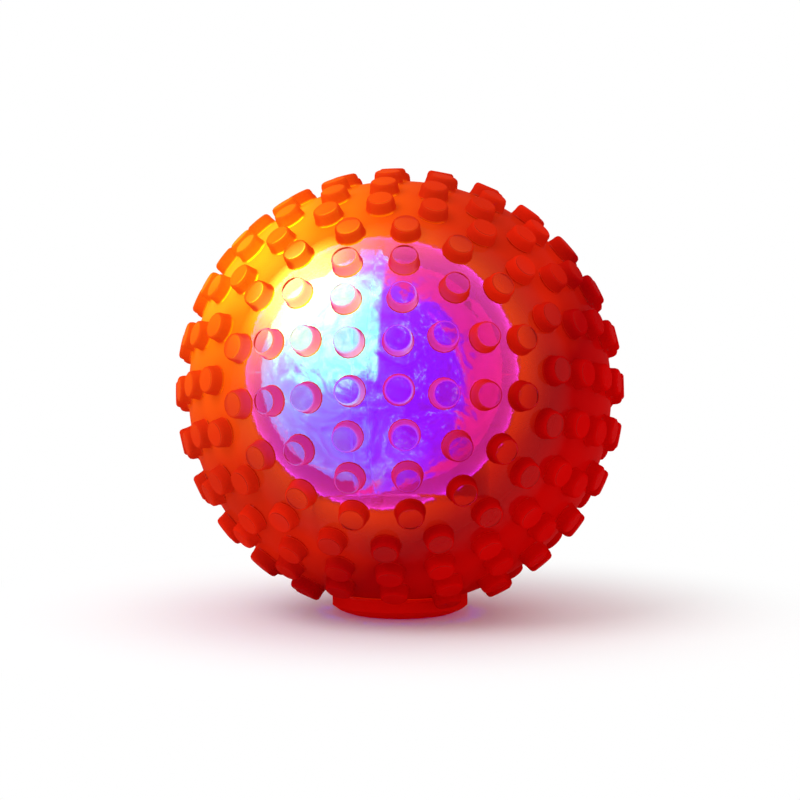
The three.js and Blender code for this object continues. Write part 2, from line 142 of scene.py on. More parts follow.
stud_profile = [(2.3, 30.3), (2.1, 30.85), (1.99, 31.4), (1.95, 31.95), (1.82, 32.32), (1.55, 32.5)]
stud_sides = 18
first_stud = turned_piece("stud", stud_profile, stud_sides)
studs = []
for direction in stud_directions():
    stud = first_stud.copy()
    stud.data = first_stud.data.copy()
    upright = direction.to_track_quat("Z", "Y").to_matrix().to_4x4()
    put_in_place(stud, Matrix.Translation(ball_centre) @ upright)
    bpy.context.collection.objects.link(stud)
    studs.append(stud)
bpy.data.objects.remove(first_stud)
pick(studs[0])
for stud in studs:
    stud.select_set(True)
bpy.ops.object.join()
stud_set = bpy.context.object

start_clean()
swell = 0.2 * mm
bpy.ops.mesh.primitive_ico_sphere_add(subdivisions=6, radius=skin_radius + swell, location=ball_centre)
ball = bpy.context.object
ball.name = "rubber_ball"
bpy.ops.object.transform_apply(location=True, rotation=True, scale=True)
bpy.ops.object.mode_set(mode="EDIT")
bpy.ops.mesh.select_all(action="SELECT")
bpy.ops.mesh.bisect(
    plane_co=(0, 0, landing_height), plane_no=(0, 0, 1), use_fill=True, clear_inner=True, threshold=1e-6
)
bpy.ops.object.mode_set(mode="OBJECT")
join_or_cut(ball, stud_set, "UNION")


def pocket_shape():
    """The round solid that is cut away to seat the capsule."""
    start_clean()
    bpy.ops.mesh.primitive_uv_sphere_add(
        segments=96, ring_count=48, radius=pocket_radius, location=capsule_centre
    )
    bpy.ops.object.transform_apply(location=True, rotation=True, scale=True)
    return bpy.context.object


join_or_cut(ball, pocket_shape(), "DIFFERENCE")
throat_profile = [(8.8, 1.4), (8.8, 6.856), (9.9, 7.956), (9.9, 9.456), (8.8, 12.056), (8.8, 30)]
throat_sides = 64
join_or_cut(ball, turned_piece("throat", throat_profile, throat_sides), "DIFFERENCE")
smooth_moulding(ball, crease=65)


def new_finish(name):
    """A material, its node tree, its shader and the place on the object that its patterns follow."""
    material = bpy.data.materials.new(name)
    material.use_nodes = True
    tree = material.node_tree
    shader = tree.nodes["Principled BSDF"]
    place = tree.nodes.new("ShaderNodeTexCoord").outputs["Object"]
    return material, tree, shader, place


def noise(tree, place, scale, detail=2.0, roughness=0.5, distortion=0.0, stretch=None):
    if stretch:
        mapping = tree.nodes.new("ShaderNodeMapping")
        mapping.inputs["Scale"].default_value = stretch
        tree.links.new(place, mapping.inputs["Vector"])
        place = mapping.outputs["Vector"]
    texture = tree.nodes.new("ShaderNodeTexNoise")
    texture.inputs["Scale"].default_value = scale
    texture.inputs["Detail"].default_value = detail
    texture.inputs["Roughness"].default_value = roughness
    texture.inputs["Distortion"].default_value = distortion
    tree.links.new(place, texture.inputs["Vector"])
    return texture.outputs["Fac"]


def between(tree, value, low, high, to_low=0.0, to_high=1.0, smooth=False):
    """The value's share of the way from low to high, as a number from to_low to to_high."""
    remap = tree.nodes.new("ShaderNodeMapRange")
    remap.interpolation_type = "SMOOTHSTEP" if smooth else "LINEAR"
    remap.inputs["From Min"].default_value = low
    remap.inputs["From Max"].default_value = high
    remap.inputs["To Min"].default_value = to_low
    remap.inputs["To Max"].default_value = to_high
    tree.links.new(value, remap.inputs["Value"])
    return remap.outputs["Result"]


def combined(tree, operation, first, second):
    """Two numbers put together by an operation; each is a socket or a plain number."""
    math_node = tree.nodes.new("ShaderNodeMath")
    math_node.operation = operation
    for socket, number in zip(math_node.inputs, (first, second)):
        if isinstance(number, (int, float)):
            socket.default_value = number
        else:
            tree.links.new(number, socket)
    return math_node.outputs["Value"]


def distance_from(tree, place, point, squeeze=None):
    """How far the place is from a point, in metres, with each axis squeezed first where asked."""
    mapping = tree.nodes.new("ShaderNodeMapping")
    squeeze = squeeze or (1, 1, 1)
    mapping.inputs["Location"].default_value = [-p * s for p, s in zip(point, squeeze)]
    mapping.inputs["Scale"].default_value = squeeze
    tree.links.new(place, mapping.inputs["Vector"])
    length = tree.nodes.new("ShaderNodeVectorMath")
    length.operation = "LENGTH"
    tree.links.new(mapping.outputs["Vector"], length.inputs[0])
    return length.outputs["Value"]


def colours_along(tree, value, stops):
    """A colour for each value from 0 to 1, from stops of (position, red, green, blue)."""
    ramp = tree.nodes.new("ShaderNodeValToRGB")
    elements = ramp.color_ramp.elements
    while len(elements) < len(stops):
        elements.new(0.5)
    for element, (position, *colour) in zip(elements, stops):
        element.position = position
        element.color = (*colour, 1)
    tree.links.new(value, ramp.inputs["Fac"])
    return ramp.outputs["Color"]


def mixed_colour(tree, share, first, second):
    mix = tree.nodes.new("ShaderNodeMix")
    mix.data_type = "RGBA"
    inputs = [s for s in mix.inputs if s.enabled]
    for socket, value in zip(inputs, (share, first, second)):
        if isinstance(value, (int, float)):
            socket.default_value = value
        elif isinstance(value, tuple):
            socket.default_value = (*value, 1)
        else:
            tree.links.new(value, socket)
    return [s for s in mix.outputs if s.enabled][0]


def raised(tree, shader, height, depth, strength=1.0):
    bump = tree.nodes.new("ShaderNodeBump")
    bump.inputs["Strength"].default_value = strength
    bump.inputs["Distance"].default_value = depth
    tree.links.new(height, bump.inputs["Height"])
    tree.links.new(bump.outputs["Normal"], shader.inputs["Normal"])


def painted_inner_glow(tree, place):
    """Painted glow: light given off in the rubber's depth, standing in for the lamps' light scattered there,
    and the red that the rubber leaves of other light.
    """
    depth_tint = tree.nodes.new("ShaderNodeVolumeAbsorption")
    depth_tint.inputs["Color"].default_value = (0.4, 0.0, 0.0, 1)
    depth_tint.inputs["Density"].default_value = 100
    depth_glow = tree.nodes.new("ShaderNodeEmission")
    depth_glow.inputs["Strength"].default_value = 530
    # Painted glow, yellow by the lamps' side and fading to red far from it.
    glow_middle, glow_reach = (-13 * mm, 0, 48 * mm), 50 * mm
    spread = between(tree, distance_from(tree, place, glow_middle), 0, glow_reach)
    yellow_to_red = [
        (0.0, 0.25, 1.0, 0.05),
        (0.26, 0.21, 0.26, 0.0),
        (0.42, 0.13, 0.08, 0.0),
        (0.58, 0.055, 0.01, 0.0),
        (1.0, 0.064, 0.001, 0.0),
    ]
    colour = colours_along(tree, spread, yellow_to_red)

    # The painted glow is dimmed to faint violet near the capsule.
    dim_violet = (0.01, 0.003, 0.08)
    near = between(tree, distance_from(tree, place, capsule_centre), 24 * mm, 14 * mm, smooth=True)
    colour = mixed_colour(tree, near, colour, dim_violet)

    # A painted orange halo round the capsule.
    orange, halo_flatness = (0.55, 0.8, 0.0), (1, 1.8, 1)
    from_side = distance_from(tree, place, capsule_centre, halo_flatness)
    halo = between(tree, from_side, 18.5 * mm, 13.8 * mm, smooth=True)
    colour = mixed_colour(tree, halo, colour, orange)

    # A painted yellow glow by the lamps' ends, and a painted blue-white glow in their beam.
    yellow, lamp_end = (0.6, 3.4, 0.1), (-12 * mm, -7 * mm, 46 * mm)
    lamp_glow = between(tree, distance_from(tree, place, lamp_end), 15 * mm, 2 * mm)
    colour = mixed_colour(tree, combined(tree, "POWER", lamp_glow, 2.0), colour, yellow)

    blue_white, beam_middle = (0.6, 9.0, 14.0), (-9.5 * mm, -5 * mm, 43.5 * mm)
    beam_glow = between(tree, distance_from(tree, place, beam_middle), 7.5 * mm, 1.5 * mm)
    colour = mixed_colour(tree, combined(tree, "POWER", beam_glow, 1.5), colour, blue_white)

    tree.links.new(colour, depth_glow.inputs["Color"])
    depth = tree.nodes.new("ShaderNodeAddShader")
    tree.links.new(depth_tint.outputs["Volume"], depth.inputs[0])
    tree.links.new(depth_glow.outputs["Emission"], depth.inputs[1])
    tree.links.new(depth.outputs["Shader"], tree.nodes["Material Output"].inputs["Volume"])


def bonded_faces(tree, place):
    """Where the rubber is bonded to the plug or wets the capsule, so that no face shows."""
    pocket_face = pocket_radius + 0.21 * mm
    throat_radius, throat_bottom, throat_top = 10.05 * mm, 3.2 * mm, 30 * mm
    flat = (1, 1, 0)
    height = tree.nodes.new("ShaderNodeSeparateXYZ")
    tree.links.new(place, height.inputs["Vector"])
    at_pocket = combined(tree, "LESS_THAN", distance_from(tree, place, capsule_centre), pocket_face)
    near_axis = combined(tree, "LESS_THAN", distance_from(tree, place, (0, 0, 0), flat), throat_radius)
    above_foot = combined(tree, "GREATER_THAN", height.outputs["Z"], throat_bottom)
    below_top = combined(tree, "LESS_THAN", height.outputs["Z"], throat_top)
    at_throat = combined(tree, "MULTIPLY", near_axis, combined(tree, "MULTIPLY", above_foot, below_top))
    return combined(tree, "MAXIMUM", at_pocket, at_throat)


def rubber_finish(name, colours_and_painted_glow, dullest):
    """Clear rubber, its own colour with painted glow set by its distance from a point by the lamps,
    a painted pink glow on the front stud walls, and milky walls to all but the front studs.
    """
    finish, tree, shader, place = new_finish(name)
    hidden = bonded_faces(tree, place)
    shown = combined(tree, "SUBTRACT", 1.0, hidden)
    wall_bottom, wall_top, stud_tip = 30.75 * mm, 32.42 * mm, 32.5 * mm
    from_middle = distance_from(tree, place, ball_centre)
    on_stud = between(tree, from_middle, wall_bottom, wall_bottom + 0.25 * mm)
    below_tip = between(tree, from_middle, wall_top, stud_tip, 1.0, 0.0)
    on_wall = combined(tree, "MULTIPLY", on_stud, below_tip)

    # The rubber's own orange-red with painted glow: yellow-orange nearest the lamps' side, deep red far from
    # it.
    painted_glow_middle, painted_glow_reach = (-17 * mm, -8 * mm, 49 * mm), 50 * mm
    painted_glow_spread = between(tree, distance_from(tree, place, painted_glow_middle), 0, painted_glow_reach)
    cloud = between(tree, noise(tree, place, 90, 3), 0.35, 0.65, -0.01, 0.01)
    painted_glow_spread = combined(tree, "ADD", painted_glow_spread, cloud)
    # Studs and their walls get less of the painted glow than the skin between them, most near the glow.
    stud_glow_drop, wall_glow_drop = 0.1, 0.12
    less_glow_on_studs = combined(
        tree,
        "ADD",
        combined(tree, "MULTIPLY", on_stud, stud_glow_drop),
        combined(tree, "MULTIPLY", on_wall, wall_glow_drop),
    )
    less_glow_on_studs = combined(tree, "MULTIPLY", less_glow_on_studs, combined(tree, "SUBTRACT", 1.0, painted_glow_spread))
    body_colour_and_painted_glow = colours_along(tree, combined(tree, "ADD", painted_glow_spread, less_glow_on_studs), colours_and_painted_glow)
    untinted = (1.0, 1.0, 1.0)
    tree.links.new(mixed_colour(tree, hidden, body_colour_and_painted_glow, untinted), shader.inputs["Base Color"])

    glossiest, wall_dullness = 0.04, 0.5
    wear = between(tree, noise(tree, place, 260, 5, 0.65), 0.4, 0.7, glossiest, dullest)
    wear = combined(tree, "ADD", wear, combined(tree, "MULTIPLY", on_wall, wall_dullness))
    tree.links.new(combined(tree, "MULTIPLY", wear, shown), shader.inputs["Roughness"])
    shader.inputs["Specular IOR Level"].default_value = 0.0
    shader.inputs["Specular Tint"].default_value = (0.6, 0.03, 0.02, 1)

    before_capsule = (-3 * mm, -31 * mm, 37 * mm)
    in_front = between(tree, distance_from(tree, place, before_capsule), 20 * mm, 13 * mm, smooth=True)
    lit_wall = combined(tree, "MULTIPLY", on_wall, in_front)
    milkiness, lit_wall_turn, clearest, least_clear = 0.9, 0.4, 0.97, 0.02
    milky_wall = combined(tree, "MULTIPLY", combined(tree, "SUBTRACT", on_wall, lit_wall), milkiness)
    edge = tree.nodes.new("ShaderNodeLayerWeight")
    turned_away = combined(
        tree, "SUBTRACT", edge.outputs["Facing"], combined(tree, "MULTIPLY", lit_wall, lit_wall_turn)
    )
    clearness = between(tree, turned_away, 0.22, 0.42, clearest, least_clear)
    clearness = combined(tree, "MULTIPLY", clearness, combined(tree, "SUBTRACT", 1.0, milky_wall))
    tree.links.new(combined(tree, "MAXIMUM", clearness, hidden), shader.inputs["Transmission Weight"])

    skin_index, wall_index, wall_index_inside, bonded_index = 1.48, 1.3, 1.02, 1.003
    side = tree.nodes.new("ShaderNodeNewGeometry")
    wall_bending = between(tree, side.outputs["Backfacing"], 0, 1, wall_index, wall_index_inside)
    less_bending = combined(tree, "MULTIPLY", on_wall, combined(tree, "SUBTRACT", wall_bending, skin_index))
    bending = combined(tree, "MULTIPLY", combined(tree, "ADD", skin_index, less_bending), shown)
    tree.links.new(combined(tree, "MAXIMUM", bending, bonded_index), shader.inputs["IOR"])
    raised(tree, shader, noise(tree, place, 1400, 2), 0.03 * mm, 0.35)

    # Painted pink glow on the stud walls before the capsule, standing in for the capsule's light through
    # them.
    wall_painted_pink, wall_painted_pink_strength = (0.33, 0.03, 0.6), 0.4
    tree.links.new(mixed_colour(tree, lit_wall, body_colour_and_painted_glow, wall_painted_pink), shader.inputs["Emission Color"])
    wall_painted_glow = combined(tree, "MULTIPLY", on_wall, between(tree, in_front, 0, 1, 0.0, wall_painted_pink_strength))
    tree.links.new(combined(tree, "MULTIPLY", wall_painted_glow, shown), shader.inputs["Emission Strength"])
    painted_inner_glow(tree, place)
    return finish


# The rubber's orange-red with painted glow: yellow-orange near the lamps' side to deep red far off.
ball_colours_and_painted_glow = [
    (0.16, 0.97, 0.47, 0.012),
    (0.28, 0.95, 0.2, 0.004),
    (0.42, 0.82, 0.085, 0.004),
    (0.57, 0.66, 0.03, 0.004),
    (0.67, 0.56, 0.019, 0.004),
    (0.8, 0.66, 0.014, 0.003),
    (0.9, 0.38, 0.001, 0.002),
    (1.0, 0.55, 0.001, 0.001),
]
ball.data.materials.append(rubber_finish("clear_orange_rubber", ball_colours_and_painted_glow, dullest=0.09))
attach(ball, "ball")
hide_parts("ball_shell")

# Base plug
# The rubber plug pushed into the throat once the capsule is in, and bonded there. A rib round its stem
# holds it, and its smooth round face, flat in the middle, is the foot that the ball stands on.
foot_flat_radius, foot_edge_radius = 6.5, 5.227
foot_edge = []
for turn in (0, 7, 14, 21, 28, 35, 40.6):
    out, up = math.sin(math.radians(turn)), 1 - math.cos(math.radians(turn))
    foot_edge.append((foot_flat_radius + foot_edge_radius * out, foot_edge_radius * up))
flange = [(9.9, 3.0), (9.7, 3.35), (8.5, 3.356)]
ribbed_stem = [(8.5, 7.156), (9.6, 8.256), (9.6, 9.456), (8.5, 11.756), (8.5, 21.6)]
plug_sides = 64
plug = turned_piece("rubber_plug", foot_edge + flange + ribbed_stem, plug_sides)
join_or_cut(plug, pocket_shape(), "DIFFERENCE")
smooth_moulding(plug, crease=40)
# The plug's deep red, a little brighter nearer the painted glow.
plug_colours_and_painted_glow = [(0.0, 0.82, 0.004, 0.003), (1.0, 0.76, 0.003, 0.002)]
plug.data.materials.append(rubber_finish("plug_rubber", plug_colours_and_painted_glow, dullest=0.2))
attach(plug, "ball")
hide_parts("base_plug")

# Capsule
# The sealed ball of clear plastic that holds the light unit, moulded in two halves that lap at the rim and
# clamp the circuit board. Its inside is scuffed and misty, with a painted blue glow of the lamps' light on
# it, which the rubber turns violet, and its clear wall has a painted blue glow with a painted bright line at
# its edge.
capsule_radius, capsule_inner = 13.44, 11.85
rim_radius, lip_radius, lip_inner, lip_end = 12.34, 12.14, 11.49, 2.1
left_face, right_face = 0.6, 0.5
dome_steps, capsule_sides = 24, 96


def dome(radius, from_left, to_left, steps):
    """Part of a circle as a profile, between two places along the capsule's axis."""
    start, end = math.asin(from_left / radius), math.asin(to_left / radius)
    angles = [start + (end - start) * step / steps for step in range(steps + 1)]
    smallest = 0.05
    return [(max(radius * math.cos(angle), smallest), radius * math.sin(angle)) for angle in angles]


left_half = turned_piece(
    "capsule_left_half",
    [
        (rim_radius, left_face),
        *dome(capsule_radius, left_face, capsule_radius, dome_steps),
        *dome(capsule_inner, capsule_inner, 2.4, dome_steps),
        (rim_radius, 2.3),
    ],
    capsule_sides,
)
right_half = turned_piece(
    "capsule_right_half",
    [
        (lip_radius, lip_end),
        (lip_radius, right_face),
        *dome(capsule_radius, right_face, -capsule_radius, dome_steps),
        *dome(capsule_inner, -capsule_inner, 0.4, dome_steps + 2),
        (lip_inner, right_face),
        (lip_inner, lip_end),
    ],
    capsule_sides,
)

clear, tree, shader, place = new_finish("clear_plastic")
scratches = noise(tree, place, 300, 4)
tree.links.new(between(tree, scratches, 0.35, 0.7, 0.02, 0.08), shader.inputs["Roughness"])
shader.inputs["Base Color"].default_value = (1, 1, 1, 1)
shader.inputs["Transmission Weight"].default_value = 1
shader.inputs["IOR"].default_value = 1.003
# Painted glow in the clear wall: faint blue through it and a bright painted line at its outer edge.
edge_bottom, edge_top, capsule_painted_glow_strength, painted_edge_line_strength = 13.29 * mm, 13.31 * mm, 500, 60000
wall_painted_glow = tree.nodes.new("ShaderNodeEmission")
wall_painted_glow.inputs["Color"].default_value = (0.02, 0.02, 1.0, 1)
from_centre = distance_from(tree, place, capsule_centre)
painted_wall_and_edge_glow = between(tree, from_centre, edge_bottom, edge_top, capsule_painted_glow_strength, painted_edge_line_strength)
tree.links.new(painted_wall_and_edge_glow, wall_painted_glow.inputs["Strength"])
tree.links.new(wall_painted_glow.outputs["Emission"], tree.nodes["Material Output"].inputs["Volume"])


def thin_marks(tree, pattern, width):
    """Fine curved lines where a pattern passes through its middle value."""
    off_middle = combined(tree, "ABSOLUTE", combined(tree, "SUBTRACT", pattern, 0.5), 0)
    return between(tree, off_middle, width, 0.3 * width)


misty, tree, shader, place = new_finish("misty_lining")
position = tree.nodes.new("ShaderNodeSeparateXYZ")
tree.links.new(place, position.inputs["Vector"])
smear = noise(tree, place, 170, 6, 0.65, 2.2)
fine_smear = noise(tree, place, 380, 3, 0.6, 1.6)
left_of_board = between(tree, position.outputs["X"], -0.9 * mm, -1.5 * mm, smooth=True)

# Painted hot spot: the brightest part of the lining's painted glow, by the lamps
hot_middle, hot_shape = (-6.0 * mm, 0, 39.6 * mm), (0.9, 0.2, 0.95)
from_hot = distance_from(tree, place, hot_middle, hot_shape)
from_hot = combined(tree, "ADD", from_hot, between(tree, smear, 0.3, 0.7, 2.0 * mm, -2.0 * mm))
painted_hot_spot = between(tree, from_hot, 7.4 * mm, 4.4 * mm, smooth=True)
below_crown = between(tree, position.outputs["Z"], 46.5 * mm, 42.5 * mm, smooth=True)
painted_hot_spot = combined(tree, "MULTIPLY", painted_hot_spot, below_crown)
painted_hot_spot = combined(tree, "MULTIPLY", painted_hot_spot, left_of_board)

# Painted glow: pale blue on the left, by the lamps, to deep blue on the right, with real scuffs painted pale
# as if lit
scuffs = combined(tree, "MULTIPLY", thin_marks(tree, fine_smear, 0.02), between(tree, smear, 0.5, 0.62))
across = between(tree, position.outputs["X"], -13 * mm, 9 * mm)
low = between(tree, position.outputs["Z"], 30 * mm, 23 * mm)
deepness = combined(tree, "ADD", across, between(tree, smear, 0.3, 0.7, 0.22, -0.22))
deepness = combined(tree, "SUBTRACT", deepness, combined(tree, "MULTIPLY", low, 0.12))
painted_glow_blues = [
    (0.0, 0.0, 0.11, 0.95),
    (0.3, 0.0, 0.065, 1.0),
    (0.5, 0.0, 0.015, 1.2),
    (0.7, 0.0, 0.0, 1.25),
    (1.0, 0.0, 0.0, 0.8),
]
painted_lining_glow = colours_along(tree, deepness, painted_glow_blues)
# Painted glow colours: cold whites for the painted hot spot and blue for the lit scuffs.
cold_white, colder_white, scuff_blue = (0.01, 0.38, 0.9), (0.0, 0.3, 0.85), (0.01, 0.3, 1.0)
painted_hot_spot_colour = mixed_colour(tree, between(tree, fine_smear, 0.4, 0.6), colder_white, cold_white)
painted_lining_glow = mixed_colour(tree, painted_hot_spot, painted_lining_glow, painted_hot_spot_colour)
painted_lining_glow = mixed_colour(tree, combined(tree, "MULTIPLY", scuffs, 0.55), painted_lining_glow, scuff_blue)

# Painted shade: dim blue round the lit patch of the lining, except high on the left
painted_shade_blue, patch_middle, upright = (0.018, 0.004, 0.22), (-3.0 * mm, 0, 33.5 * mm), (1, 0, 1)
waver = between(tree, smear, 0.3, 0.7, -1.6 * mm, 1.6 * mm)
from_patch = combined(tree, "ADD", distance_from(tree, place, patch_middle, upright), waver)
painted_shade = between(tree, from_patch, 10.4 * mm, 11.8 * mm, smooth=True)
high = between(tree, position.outputs["Z"], 28 * mm, 33 * mm)
lit_side = combined(tree, "MULTIPLY", left_of_board, high)
painted_shade = combined(tree, "MULTIPLY", painted_shade, combined(tree, "SUBTRACT", 1.0, lit_side))
painted_lining_glow = mixed_colour(tree, painted_shade, painted_lining_glow, painted_shade_blue)
tree.links.new(painted_lining_glow, shader.inputs["Emission Color"])

# Strength of the lining's painted glow, uneven with the smear and higher in the painted hot spot.
least_power, most_power, painted_hot_spot_power = 75, 120, 15.0
painted_glow_power = between(tree, smear, 0.3, 0.7, least_power, most_power)
painted_glow_power = combined(tree, "ADD", combined(tree, "MULTIPLY", painted_hot_spot, painted_hot_spot_power), painted_glow_power)
tree.links.new(painted_glow_power, shader.inputs["Emission Strength"])
dark_film, pale_film = (0.03, 0.03, 0.1), (0.08, 0.06, 0.2)
tree.links.new(mixed_colour(tree, smear, dark_film, pale_film), shader.inputs["Base Color"])
tree.links.new(between(tree, fine_smear, 0.3, 0.7, 0.25, 0.5), shader.inputs["Roughness"])

wrinkles = bpy.data.textures.new("lining_wrinkles", "CLOUDS")
wrinkles.noise_scale = 5 * mm
wrinkles.noise_depth = 2
left_end, left_fade, right_end, right_fade = -9, 3, 10.5, 2.5
seam, seam_half_width = -1.1, 0.8
lining_reach = 12.75 * mm
axis_to_left = Matrix.Translation(capsule_centre) @ Matrix.Rotation(math.radians(-90), 4, "Y")
for half, node in ((left_half, "capsule_left"), (right_half, "capsule_right")):
    put_in_place(half, axis_to_left)
    pick(half)
    bpy.ops.object.mode_set(mode="EDIT")
    bpy.ops.mesh.select_all(action="SELECT")
    bpy.ops.mesh.normals_make_consistent(inside=False)
    bpy.ops.object.mode_set(mode="OBJECT")

    # Wrinkles in the lining, none at its ends and along the seam
    lining = half.vertex_groups.new(name="lining")
    for corner in half.data.vertices:
        if abs((corner.co - capsule_centre).length - capsule_inner * mm) < 0.03 * mm:
            along = (corner.co.x - capsule_centre.x) / mm
            from_ends = min((along - left_end) / left_fade, (right_end - along) / right_fade)
            from_seam = abs(along - seam) - seam_half_width
            lining.add([corner.index], max(min(from_ends, from_seam, 1), 0), "REPLACE")
    wrinkle = half.modifiers.new("wrinkles", "DISPLACE")
    wrinkle.texture = wrinkles
    wrinkle.texture_coords = "LOCAL"
    wrinkle.vertex_group = "lining"
    wrinkle.mid_level = 0.2
    wrinkle.strength = 2.0 * mm
    bpy.ops.object.modifier_apply(modifier=wrinkle.name)
    smooth_moulding(half, crease=35)

    half.data.materials.append(clear)
    half.data.materials.append(misty)
    for face in half.data.polygons:
        face.material_index = 1 if (face.center - capsule_centre).length < lining_reach else 0
    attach(half, "ball")
    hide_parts(node)

# Circuit board
# A round board of glass cloth and resin with a green mask, clamped between the halves of the capsule.
# The weave of the cloth shows faintly through the mask.
def dress(names, finish):
    for name in names:
        for material_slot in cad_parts[name].material_slots:
            material_slot.material = finish


board_green, tree, shader, place = new_finish("green_board")
weave = noise(tree, place, 2600, 1, stretch=(1, 1, 0.2))
patches = noise(tree, place, 300, 3)
unevenness = between(tree, combined(tree, "ADD", weave, patches), 0.7, 1.3)
dark_green, light_green = (0.01, 0.11, 0.035), (0.03, 0.2, 0.07)
tree.links.new(mixed_colour(tree, unevenness, dark_green, light_green), shader.inputs["Base Color"])
tree.links.new(between(tree, patches, 0.3, 0.7, 0.3, 0.5), shader.inputs["Roughness"])
raised(tree, shader, weave, 0.02 * mm, 0.4)
dress(["circuit_board"], board_green)

# Lamps
# Two round lamps of tinted epoxy, one blue and one red, each cast round its two leads. The blue one is lit
# to a cold white and the red one to a warm pink.
def lamp_finish(name, edge_colour, lit_colour, tip_strength):
    finish, tree, shader, place = new_finish(name)
    swirl = between(tree, noise(tree, place, 500, 3, 0.5, 1.0), 0.3, 0.7)
    tree.links.new(mixed_colour(tree, swirl, edge_colour, lit_colour), shader.inputs["Base Color"])
    along = tree.nodes.new("ShaderNodeSeparateXYZ")
    tree.links.new(place, along.inputs["Vector"])
    lamp_foot, lamp_tip, foot_strength = -4 * mm, -11 * mm, 1.5
    towards_tip = between(tree, along.outputs["X"], lamp_foot, lamp_tip)
    tree.links.new(mixed_colour(tree, towards_tip, edge_colour, lit_colour), shader.inputs["Emission Color"])
    brightness = between(tree, towards_tip, 0, 1, foot_strength, tip_strength)
    tree.links.new(brightness, shader.inputs["Emission Strength"])
    shader.inputs["Roughness"].default_value = 0.15
    return finish


deep_blue, cold_light = (0.1, 0.25, 1.0), (0.75, 0.92, 1.0)
dress(["led_blue"], lamp_finish("blue_lamp_epoxy", deep_blue, cold_light, tip_strength=9))
deep_red, pink_light = (1.0, 0.03, 0.05), (1.0, 0.45, 0.5)
dress(["led_red"], lamp_finish("red_lamp_epoxy", deep_red, pink_light, tip_strength=5))

# Leads
# The two legs of each lamp, of square tinned steel wire cut from strip. The lamp's epoxy holds one end, and
# the other is soldered in a hole of the board and clipped off level with its back.
def plain_metal(name, bright, dull, scale, smoothest, roughest, stretch=None):
    """Bare or plated metal with faint stains and fine marks, which a stretch draws out one way."""
    finish, tree, shader, place = new_finish(name)
    stain = noise(tree, place, scale, 4, 0.6, 0.3, stretch)
    stained = mixed_colour(tree, between(tree, stain, 0.35, 0.65), bright, dull)
    tree.links.new(stained, shader.inputs["Base Color"])
    tree.links.new(between(tree, stain, 0.3, 0.7, smoothest, roughest), shader.inputs["Roughness"])
    shader.inputs["Metallic"].default_value = 1
    fine_marks = noise(tree, place, scale * 6, stretch=stretch)
    raised(tree, shader, fine_marks, 0.01 * mm, 0.3)
    return finish


lead_names = [f"led_{lamp}_{side}" for lamp in ("blue", "red") for side in ("anode", "cathode")]
tin, dull_tin = (0.78, 0.78, 0.76), (0.5, 0.5, 0.49)
dress(lead_names, plain_metal("tinned_wire", tin, dull_tin, 900, 0.25, 0.5))

# Flasher chip
# The flasher circuit, which blinks the lamps after a knock: a bare chip on the board under a drop of black
# resin, which ran out round before it set.
resin, tree, shader, place = new_finish("black_resin")
run = noise(tree, place, 700, 3, 0.5, 0.8)
black_resin, grey_resin = (0.008, 0.008, 0.01), (0.03, 0.03, 0.035)
tree.links.new(mixed_colour(tree, run, black_resin, grey_resin), shader.inputs["Base Color"])
tree.links.new(between(tree, run, 0.3, 0.7, 0.18, 0.4), shader.inputs["Roughness"])
raised(tree, shader, run, 0.05 * mm, 0.3)
dress(["flasher_chip"], resin)

# Resistors
# Two chip resistors, one for each lamp, of black-glazed ceramic with tinned ends. They are soldered to the
# board above the lamps, one on each side of its middle.
glaze, tree, shader, place = new_finish("resistor_glaze")
resistor_place, half_glaze = 1.3 * mm, 0.62 * mm
position = tree.nodes.new("ShaderNodeSeparateXYZ")
tree.links.new(place, position.inputs["Vector"])
from_axis = combined(tree, "ABSOLUTE", position.outputs["Y"], 0)
from_its_middle = combined(tree, "ABSOLUTE", combined(tree, "SUBTRACT", from_axis, resistor_place), 0)
tinned_end = combined(tree, "GREATER_THAN", from_its_middle, half_glaze)
speckle = noise(tree, place, 2500, 3)
black_glaze, grey_glaze, end_tin = (0.01, 0.01, 0.012), (0.035, 0.035, 0.04), (0.7, 0.7, 0.68)
glazed = mixed_colour(tree, speckle, black_glaze, grey_glaze)
tree.links.new(mixed_colour(tree, tinned_end, glazed, end_tin), shader.inputs["Base Color"])
tree.links.new(tinned_end, shader.inputs["Metallic"])
tree.links.new(between(tree, speckle, 0.3, 0.7, 0.3, 0.5), shader.inputs["Roughness"])
dress(["led_resistor_1", "led_resistor_2"], glaze)

# Knock switch
# A coil of fine spring steel on one leg, and a brass post that stands inside its free end. A knock makes
# the coil sway until it touches the post.
steel, dull_steel = (0.62, 0.62, 0.64), (0.35, 0.34, 0.35)
dress(["switch_spring"], plain_metal("spring_steel_wire", steel, dull_steel, 1200, 0.2, 0.4))
brass, dull_brass = (0.83, 0.62, 0.25), (0.6, 0.42, 0.16)
dress(["switch_post"], plain_metal("brass_wire", brass, dull_brass, 800, 0.22, 0.42))

# Button cells
# Three button cells in plated steel cans, pressed one on the other in their holder. Fine marks from the
# drawing of the cans run along their sides.
plate, dull_plate, drawn_marks = (0.8, 0.8, 0.79), (0.58, 0.58, 0.57), (0.3, 1, 1)
plated_can = plain_metal("plated_can", plate, dull_plate, 700, 0.2, 0.42, drawn_marks)
dress(["cell_1", "cell_2", "cell_3"], plated_can)

# Cell holder
# A ring of black plastic round the cells, moulded with a fine matt grain. It sits on the board and keeps the
# cells in line.
black, tree, shader, place = new_finish("black_moulding")
grain = noise(tree, place, 2200, 3, 0.6)
black_plastic, grey_plastic = (0.012, 0.012, 0.013), (0.04, 0.04, 0.042)
tree.links.new(mixed_colour(tree, grain, black_plastic, grey_plastic), shader.inputs["Base Color"])
tree.links.new(between(tree, grain, 0.3, 0.7, 0.45, 0.65), shader.inputs["Roughness"])
raised(tree, shader, grain, 0.03 * mm, 0.5)
dress(["cell_holder"], black)

